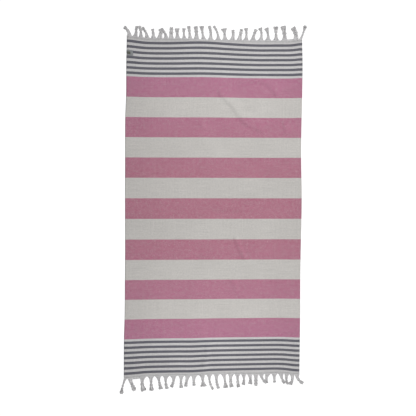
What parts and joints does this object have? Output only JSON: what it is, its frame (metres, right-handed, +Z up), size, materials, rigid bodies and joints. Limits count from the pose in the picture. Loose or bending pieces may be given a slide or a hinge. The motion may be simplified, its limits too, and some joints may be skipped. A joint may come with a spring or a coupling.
{
  "type": "beach towel",
  "caption": "Flat-woven striped cotton beach towel laid out flat, with hems and a row of twisted tassels at each end.",
  "frame": {"origin": "on the floor, under the middle of the towel's outline", "axes": "+Z up, +Y along the towel's length towards its label end, +X across it"},
  "size_m": [0.9584, 1.8826, 0.0097],
  "materials": {
    "woven_cotton": "matt flat-woven cotton in off-white and dusty pink bands, with narrow charcoal stripes at both ends",
    "fringe_yarn": "off-white cotton yarn twisted in two plies, with brushed loose ends",
    "label_tape": "grey woven tape with nothing on it"
  },
  "bodies": {
    "root": {"cloth": "woven_cotton", "fringe_top": "fringe_yarn", "fringe_bottom": "fringe_yarn", "label": "label_tape"}
  },
  "joints": []
}
